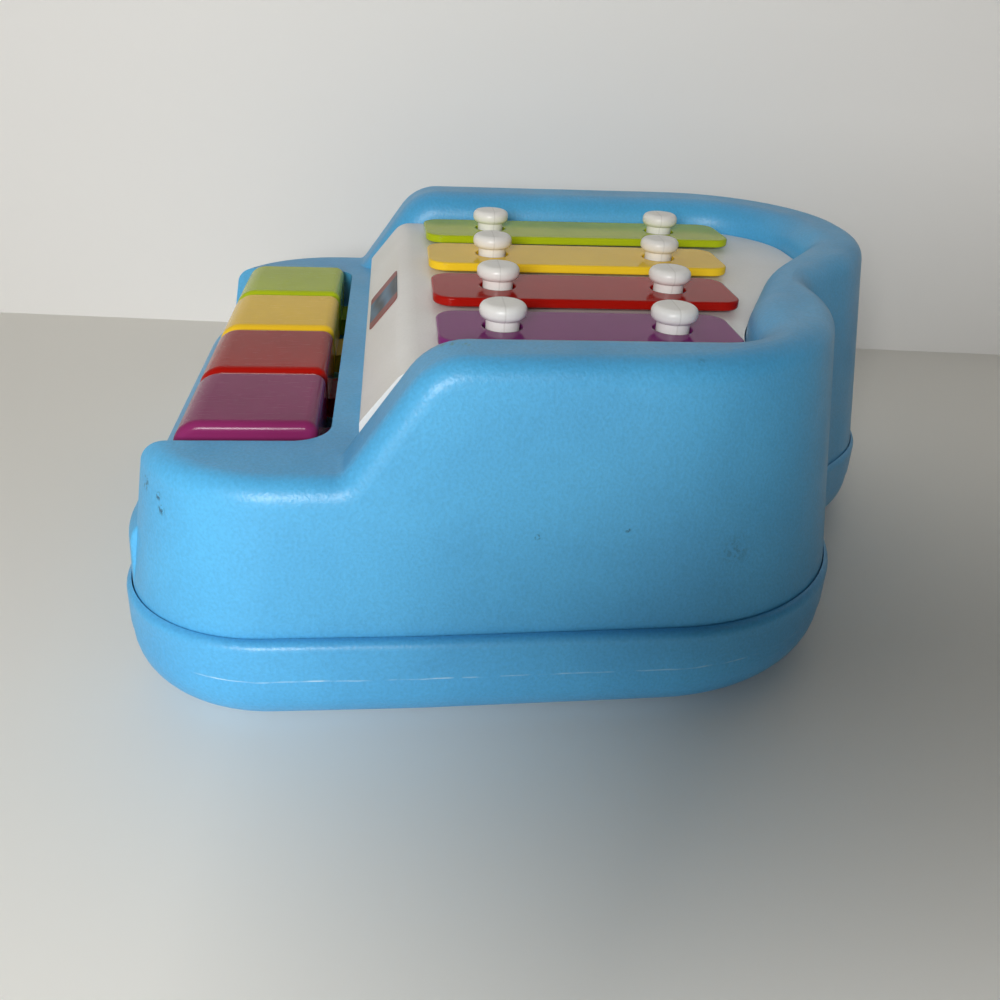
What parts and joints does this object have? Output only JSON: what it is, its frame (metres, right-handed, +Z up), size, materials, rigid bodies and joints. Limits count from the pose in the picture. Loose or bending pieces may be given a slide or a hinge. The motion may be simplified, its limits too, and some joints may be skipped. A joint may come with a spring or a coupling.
{
  "type": "toy piano",
  "caption": "Toddler's toy grand piano with a blue moulded case: wide coloured keys swing on an axle and throw hammers up at matching steel sound bars held on pegs in the open top.",
  "frame": {"origin": "on the flat underside, under the middle of the keyboard and midway between the front wall and the tail wall", "axes": "+X to the player's right, +Y from the keys to the tail, +Z up"},
  "size_m": [0.1831, 0.2032, 0.0808],
  "materials": {
    "blue_plastic": "satin, finely grained, moulded",
    "white_plastic": "satin, moulded",
    "grey_plastic": "plain, moulded",
    "nylon": "satin",
    "steel": "zinc plated",
    "felt": "pressed wool",
    "green_plastic": "glossy, moulded",
    "green_enamel": "glossy enamel on steel",
    "yellow_plastic": "glossy, moulded",
    "yellow_enamel": "glossy enamel on steel",
    "red_plastic": "glossy, moulded",
    "red_enamel": "glossy enamel on steel",
    "purple_plastic": "glossy, moulded",
    "purple_enamel": "glossy enamel on steel"
  },
  "bodies": {
    "case": {"upper_case": "blue_plastic", "base_pan": "blue_plastic", "deck_plate": "white_plastic", "key_frame": "grey_plastic", "key_axle": "steel", "axle_clips": "steel", "rest_felt": "felt", "stop_felt": "felt", "base_screws": "steel", "frame_screws": "steel", "deck_screws": "steel", "pegs_green": "white_plastic", "felts_green": "felt", "pegs_yellow": "white_plastic", "felts_yellow": "felt", "pegs_red": "white_plastic", "felts_red": "felt", "pegs_purple": "white_plastic", "felts_purple": "felt"},
    "green_key": {"key_green": "green_plastic", "hammer_green": "nylon"},
    "green_bar": {"sound_bar_green": "green_enamel"},
    "yellow_key": {"key_yellow": "yellow_plastic", "hammer_yellow": "nylon"},
    "yellow_bar": {"sound_bar_yellow": "yellow_enamel"},
    "red_key": {"key_red": "red_plastic", "hammer_red": "nylon"},
    "red_bar": {"sound_bar_red": "red_enamel"},
    "purple_key": {"key_purple": "purple_plastic", "hammer_purple": "nylon"},
    "purple_bar": {"sound_bar_purple": "purple_enamel"}
  },
  "joints": [
    {"name": "green_key_swing", "type": "hinge", "parent": "case", "child": "green_key", "pos_m": [0, -0.04225, 0.044], "axis": [1, 0, 0], "range_deg": [0, 6]},
    {"name": "yellow_key_swing", "type": "hinge", "parent": "case", "child": "yellow_key", "pos_m": [0, -0.04225, 0.044], "axis": [1, 0, 0], "range_deg": [0, 6]},
    {"name": "red_key_swing", "type": "hinge", "parent": "case", "child": "red_key", "pos_m": [0, -0.04225, 0.044], "axis": [1, 0, 0], "range_deg": [0, 6]},
    {"name": "purple_key_swing", "type": "hinge", "parent": "case", "child": "purple_key", "pos_m": [0, -0.04225, 0.044], "axis": [1, 0, 0], "range_deg": [0, 6]},
    {"name": "green_bar_lift", "type": "slide", "parent": "case", "child": "green_bar", "axis": [0, 0, 1], "range_m": [0, 0.0014]},
    {"name": "yellow_bar_lift", "type": "slide", "parent": "case", "child": "yellow_bar", "axis": [0, 0, 1], "range_m": [0, 0.0014]},
    {"name": "red_bar_lift", "type": "slide", "parent": "case", "child": "red_bar", "axis": [0, 0, 1], "range_m": [0, 0.0014]},
    {"name": "purple_bar_lift", "type": "slide", "parent": "case", "child": "purple_bar", "axis": [0, 0, 1], "range_m": [0, 0.0014]}
  ]
}
